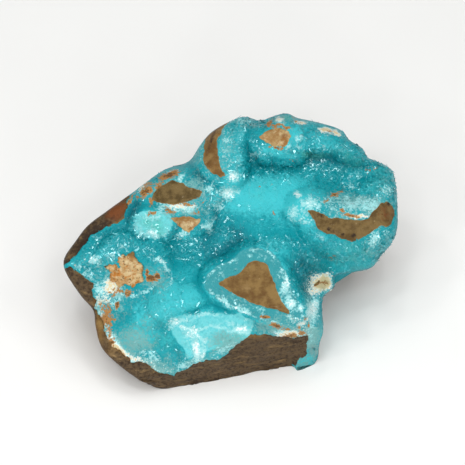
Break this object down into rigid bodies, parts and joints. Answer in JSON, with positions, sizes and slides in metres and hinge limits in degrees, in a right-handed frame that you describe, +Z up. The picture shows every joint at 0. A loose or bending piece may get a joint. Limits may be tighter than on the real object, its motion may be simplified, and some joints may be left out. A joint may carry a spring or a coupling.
{
  "type": "smithsonite cluster",
  "caption": "Loose block of brown iron-oxide rock under a blue-green, sparkling smithsonite crust, with knobs of bare rock inside flat collars and a flat base.",
  "frame": {"origin": "middle of the ground that the block covers, on its flat base", "axes": "+Z up from the base, +X along the block's length, and the crusted display side leans towards -Y"},
  "size_m": [0.1002, 0.0788, 0.0478],
  "materials": {
    "limonite_rock": "matte",
    "smithsonite": "satin"
  },
  "bodies": {
    "root": {"rock_matrix": "limonite_rock", "smithsonite_crust": "smithsonite"}
  },
  "joints": []
}
